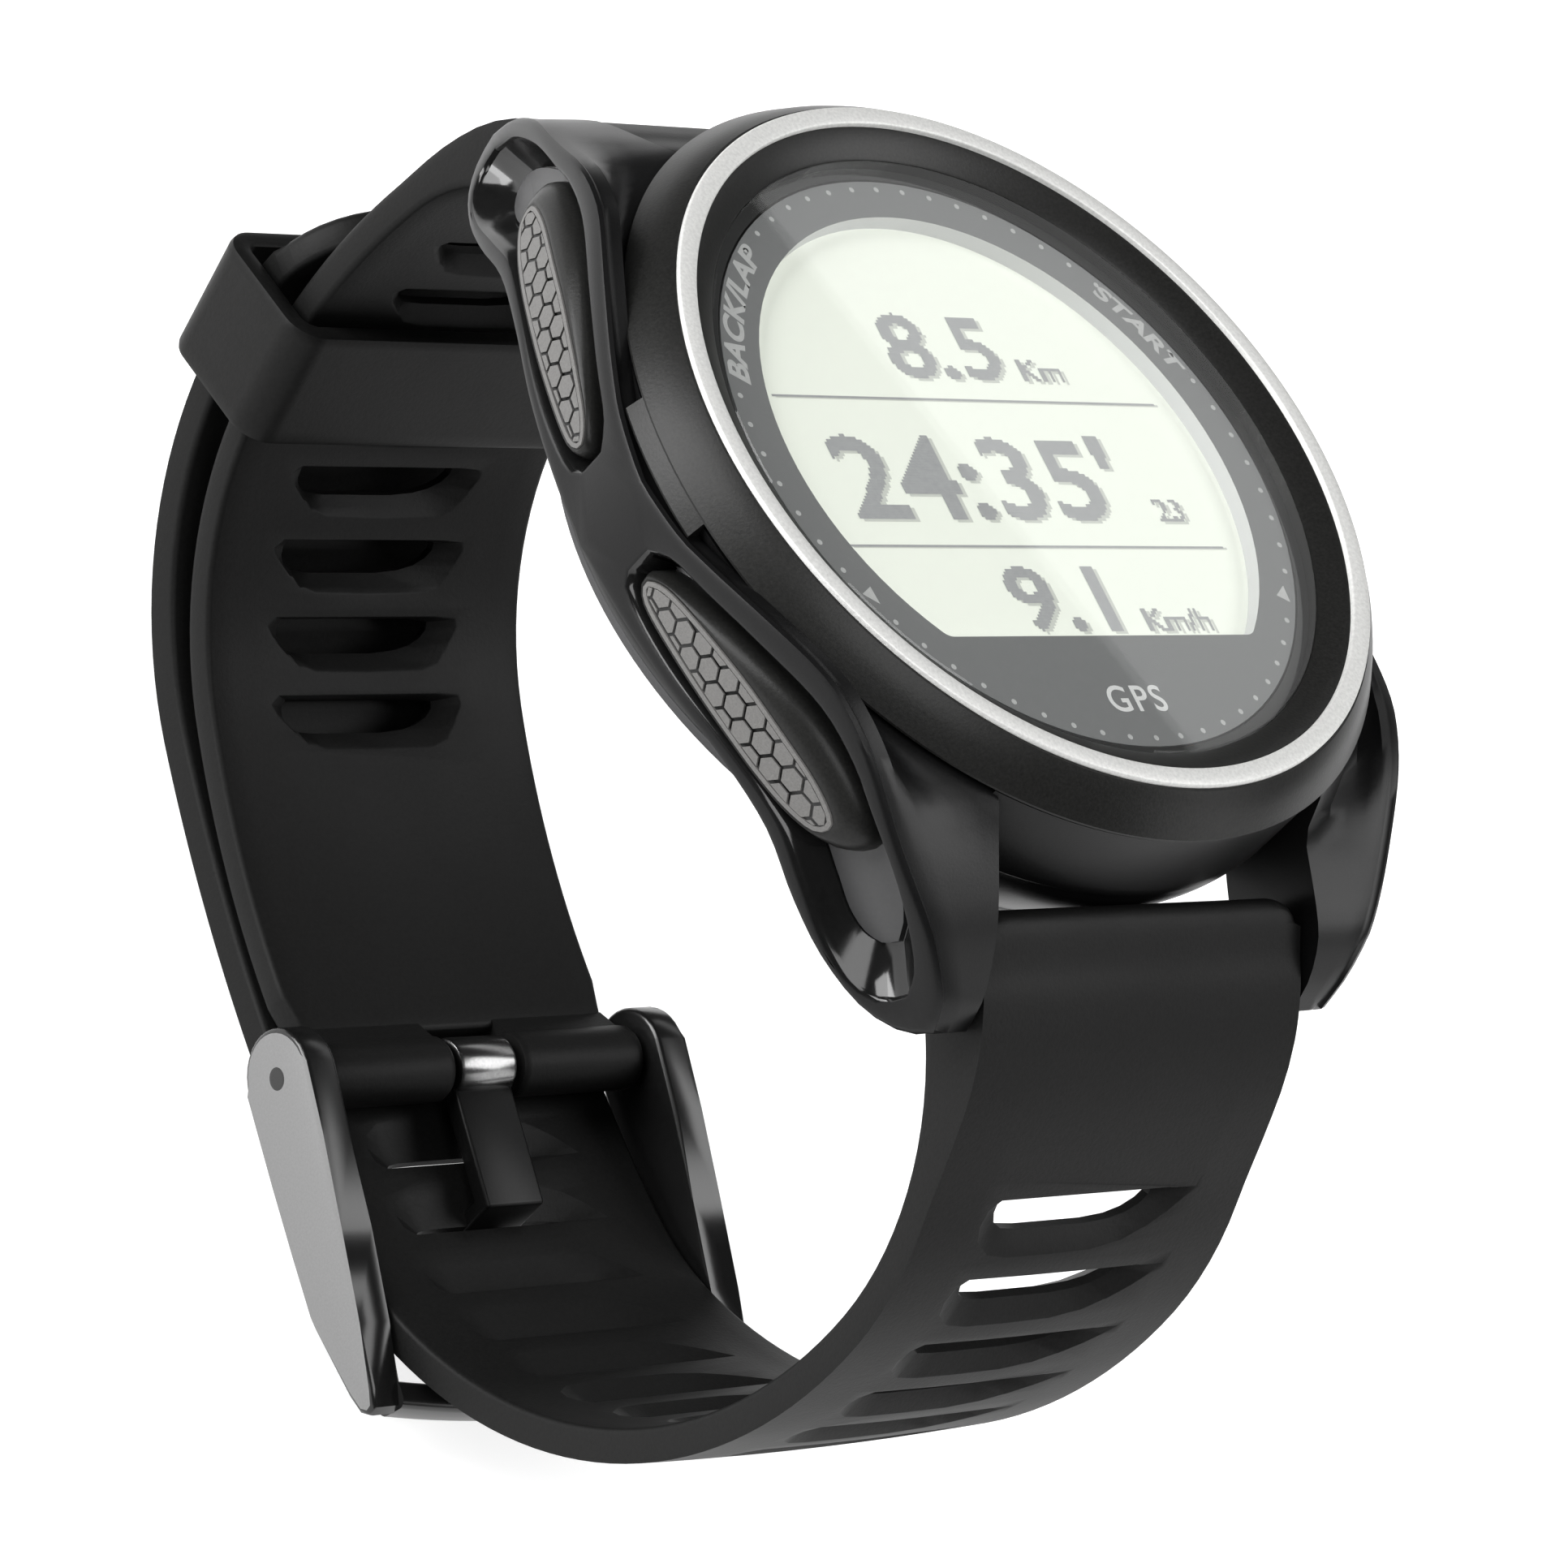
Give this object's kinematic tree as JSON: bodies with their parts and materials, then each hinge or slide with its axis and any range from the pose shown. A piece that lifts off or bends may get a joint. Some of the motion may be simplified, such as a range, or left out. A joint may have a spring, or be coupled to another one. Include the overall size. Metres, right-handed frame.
{
  "type": "gps running watch",
  "caption": "Buckled sports watch: round dial in a metal ring, arched side rails holding push buttons, slotted rubber strap, tang buckle and loose keeper.",
  "frame": {"origin": "centre of the flat wrist face of the rear cover", "axes": "+Z out of the dial, +Y towards 12 o'clock, +X towards 3 o'clock"},
  "size_m": [0.046, 0.073, 0.06],
  "materials": {
    "case_shell": "satin black, polished on the bevels",
    "bezel_black": "black anodised, fine blasted grain",
    "ring_metal": "bead blasted",
    "lens_glass": "clear, polished",
    "seal_rubber": "matte",
    "mask_grey": "printed, satin",
    "display_face": "reflective liquid crystal, satin",
    "light_guide": "translucent white",
    "flex_film": "polyimide film",
    "inner_plastic": "moulded",
    "contact_gold": "gold plated",
    "board_green": "solder mask",
    "shield_metal": "tinned sheet",
    "battery_foil": "foil pouch",
    "cover_plastic": "fine moulded texture",
    "screw_steel": "satin",
    "pin_steel": "polished",
    "strap_rubber": "matte black, moulded",
    "keeper_rubber": "satin black",
    "buckle_metal": "satin grey sides, black gloss edges",
    "tongue_metal": "black, satin",
    "button_black": "polished bevels",
    "button_pad_grey": "blasted, with an engraved hexagon pattern",
    "spring_steel": "drawn wire"
  },
  "bodies": {
    "case": {"mid_case": "case_shell", "bezel": "bezel_black", "bezel_ring": "ring_metal", "lens": "lens_glass", "lens_gasket": "seal_rubber", "dial_mask": "mask_grey", "display": "display_face", "backlight": "light_guide", "display_flex": "flex_film", "chassis": "inner_plastic", "gps_antenna": "contact_gold", "main_board": "board_green", "shield_can": "shield_metal", "vibration_motor": "shield_metal", "battery": "battery_foil", "side_switches": "inner_plastic", "bezel_gasket": "seal_rubber", "back_gasket": "seal_rubber", "rear_cover": "cover_plastic", "back_screws": "screw_steel", "charge_contacts": "contact_gold", "spring_bar_12": "pin_steel", "spring_bar_6": "pin_steel", "button_spring_2": "spring_steel", "button_spring_4": "spring_steel", "button_spring_8": "spring_steel", "button_spring_10": "spring_steel"},
    "strap_short": {"strap_short": "strap_rubber"},
    "strap_long": {"strap_long": "strap_rubber"},
    "keeper": {"keeper": "keeper_rubber"},
    "buckle": {"buckle_frame": "buckle_metal", "buckle_pin": "pin_steel"},
    "tongue": {"buckle_tongue": "tongue_metal"},
    "button_2": {"button_cap_2": "button_black", "button_pad_2": "button_pad_grey", "button_seal_2": "seal_rubber", "button_clip_2": "screw_steel"},
    "button_4": {"button_cap_4": "button_black", "button_pad_4": "button_pad_grey", "button_seal_4": "seal_rubber", "button_clip_4": "screw_steel"},
    "button_8": {"button_cap_8": "button_black", "button_pad_8": "button_pad_grey", "button_seal_8": "seal_rubber", "button_clip_8": "screw_steel"},
    "button_10": {"button_cap_10": "button_black", "button_pad_10": "button_pad_grey", "button_seal_10": "seal_rubber", "button_clip_10": "screw_steel"}
  },
  "joints": [
    {"name": "strap_short_swing", "type": "hinge", "parent": "case", "child": "strap_short", "pos_m": [0, 0.0244, 0.0019], "axis": [1, 0, 0], "range_deg": [-0.5, 0]},
    {"name": "strap_long_swing", "type": "hinge", "parent": "case", "child": "strap_long", "pos_m": [0, -0.0244, 0.0019], "axis": [1, 0, 0], "range_deg": [-0.5, 0]},
    {"name": "keeper_slide", "type": "slide", "parent": "strap_short", "child": "keeper", "axis": [0, -0.228, -0.9737], "range_m": [-0.002, 0.003]},
    {"name": "buckle_hinge", "type": "hinge", "parent": "strap_short", "child": "buckle", "pos_m": [0, -0.00193, -0.04099], "axis": [1, 0, 0], "range_deg": [0, 4]},
    {"name": "tongue_hinge", "type": "hinge", "parent": "buckle", "child": "tongue", "pos_m": [0, -0.00193, -0.04099], "axis": [1, 0, 0], "range_deg": [0, 2.5]},
    {"name": "button_2_press", "type": "slide", "parent": "case", "child": "button_2", "axis": [-1, 0, 0], "range_m": [0, 0.0005], "stiffness_N_per_m": 2500, "springref_m": -0.0006, "deforming": ["button_spring_2"]},
    {"name": "button_4_press", "type": "slide", "parent": "case", "child": "button_4", "axis": [-1, 0, 0], "range_m": [0, 0.0005], "stiffness_N_per_m": 2500, "springref_m": -0.0006, "deforming": ["button_spring_4"]},
    {"name": "button_8_press", "type": "slide", "parent": "case", "child": "button_8", "axis": [1, 0, 0], "range_m": [0, 0.0005], "stiffness_N_per_m": 2500, "springref_m": -0.0006, "deforming": ["button_spring_8"]},
    {"name": "button_10_press", "type": "slide", "parent": "case", "child": "button_10", "axis": [1, 0, 0], "range_m": [0, 0.0005], "stiffness_N_per_m": 2500, "springref_m": -0.0006, "deforming": ["button_spring_10"]}
  ]
}
